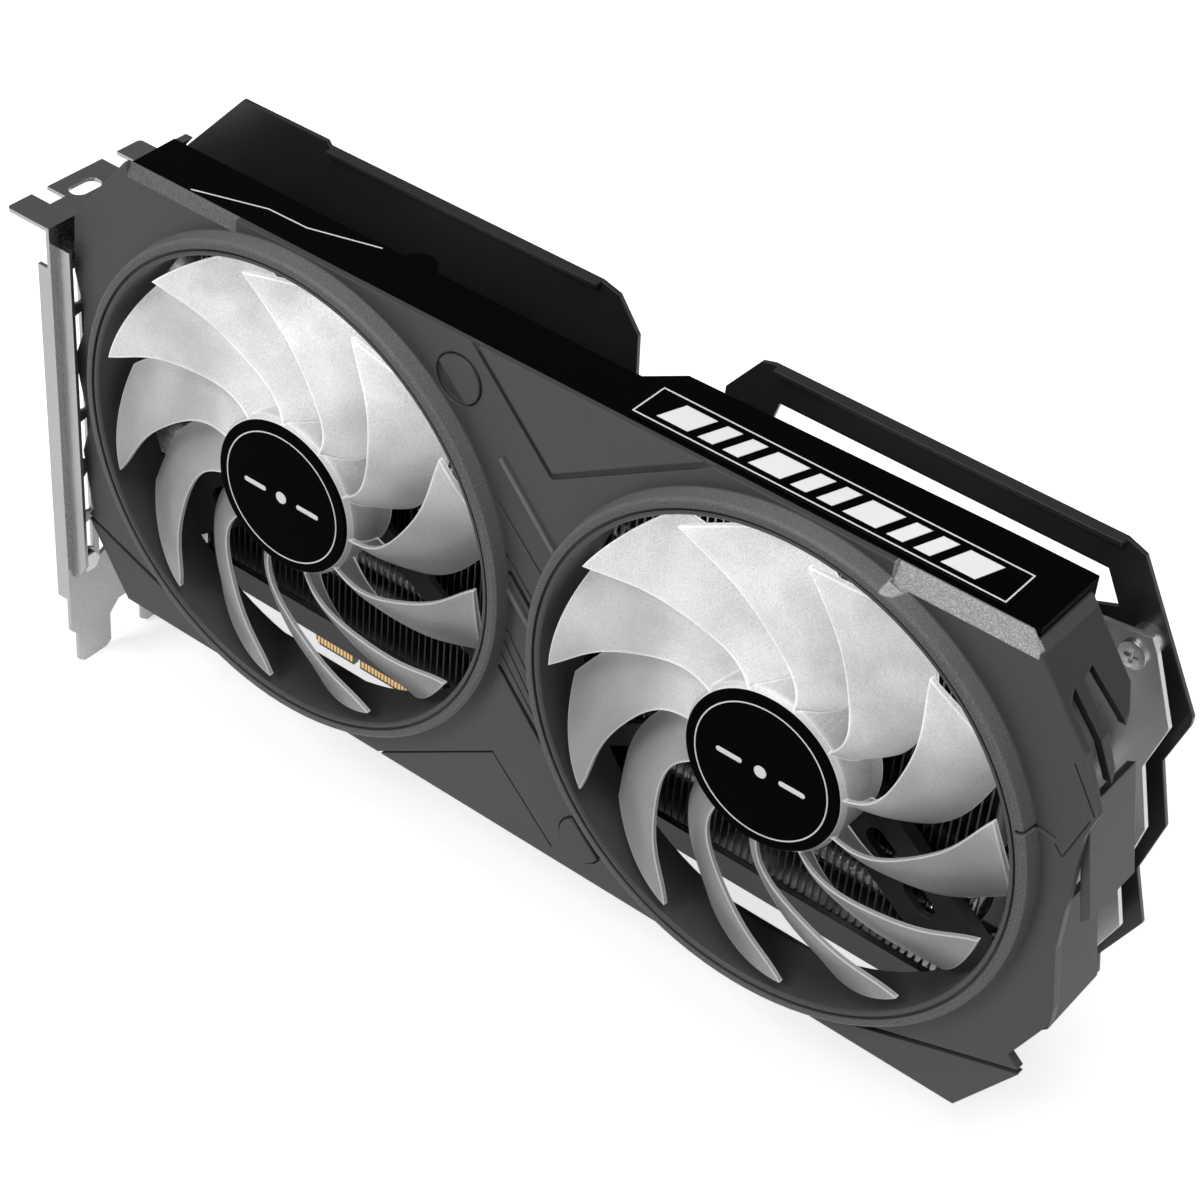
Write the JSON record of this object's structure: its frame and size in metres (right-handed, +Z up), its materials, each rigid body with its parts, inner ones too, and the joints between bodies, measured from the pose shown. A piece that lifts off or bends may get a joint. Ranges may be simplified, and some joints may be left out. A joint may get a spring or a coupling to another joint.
{
  "type": "graphics card",
  "caption": "Double-slot computer graphics card with a dark angular shroud, frosted axial fans with glossy hub caps, finned heatsink, backplate, gold edge connector and plated slot bracket.",
  "frame": {"origin": "middle of the key notch at the bottom of the edge connector, on the mid-plane of the circuit board", "axes": "+X along the card from the slot bracket to the tail, +Z up from the edge connector to the power socket, fans face -Y"},
  "size_m": [0.2655, 0.0408, 0.1425],
  "materials": {
    "shroud": "fine matt grain",
    "trim": "satin",
    "label": "polished",
    "print": "printed",
    "blade": "frosted translucent",
    "cap": "polished",
    "fan_base": "moulded",
    "magnet": "bonded ferrite",
    "steel": "ground",
    "laminations": "stacked sheet",
    "bronze": "sintered",
    "winding": "enamelled wire",
    "motor_board": "solder mask",
    "led": "moulded lens",
    "bracket": "nickel plate",
    "bracket_rail": "nickel plate",
    "bright_screw": "plated",
    "backplate": "satin powder coat",
    "end_plate": "satin anodised",
    "pcb": "black solder mask",
    "gold": "hard gold plate",
    "substrate": "laminate",
    "silicon": "polished",
    "paste": "paste",
    "chip": "moulded epoxy",
    "thermal_pad": "soft pad",
    "inductor": "pressed iron powder",
    "capacitor": "moulded",
    "connector": "moulded nylon",
    "header": "moulded nylon",
    "port_shell": "nickel plate",
    "copper": "machined copper",
    "pipe": "nickel plated copper",
    "fin": "rolled sheet",
    "frame": "die cast",
    "black_screw": "black zinc"
  },
  "bodies": {
    "card": {"shroud": "shroud", "shroud_plugs": "shroud", "tail_vanes": "shroud", "top_trim": "trim", "label_plate": "label", "label_frame": "print", "label_marks": "print", "trim_inlay": "print", "fan_left_base": "fan_base", "fan_right_base": "fan_base", "fan_bearings": "bronze", "fan_boards": "motor_board", "fan_stator_cores": "laminations", "fan_stator_coils": "winding", "fan_leds": "led", "fan_screws": "black_screw", "bracket": "bracket", "bracket_rail": "bracket_rail", "bracket_screws": "bright_screw", "backplate": "backplate", "backplate_screws": "black_screw", "board_spacers": "bright_screw", "end_plate": "end_plate", "end_screws": "black_screw", "tail_screw": "bright_screw", "pcb": "pcb", "pcie_contacts": "gold", "gpu_package": "substrate", "gpu_die": "silicon", "thermal_paste": "paste", "memory_chips": "chip", "memory_pads": "thermal_pad", "inductors": "inductor", "mosfets": "chip", "mosfet_pads": "thermal_pad", "capacitors": "capacitor", "power_connector": "connector", "power_pins": "gold", "displayport_shells": "port_shell", "hdmi_shells": "port_shell", "port_tongues": "connector", "fan_headers": "header", "cold_plate": "copper", "heat_pipes": "pipe", "fin_stack": "fin", "heatsink_frame": "frame", "leaf_spring": "steel", "cooler_screws": "bright_screw"},
    "fan_left_rotor": {"fan_left_rotor": "blade", "fan_left_cap": "cap", "fan_left_cap_marks": "print", "fan_left_magnet": "magnet", "fan_left_shaft": "steel"},
    "fan_right_rotor": {"fan_right_rotor": "blade", "fan_right_cap": "cap", "fan_right_cap_marks": "print", "fan_right_magnet": "magnet", "fan_right_shaft": "steel"}
  },
  "joints": [
    {"name": "fan_left_spin", "type": "hinge", "parent": "card", "child": "fan_left_rotor", "pos_m": [0.008, -0.028, 0.0723], "axis": [0, -1, 0], "continuous": true},
    {"name": "fan_right_spin", "type": "hinge", "parent": "card", "child": "fan_right_rotor", "pos_m": [0.129, -0.028, 0.0723], "axis": [0, -1, 0], "continuous": true}
  ]
}
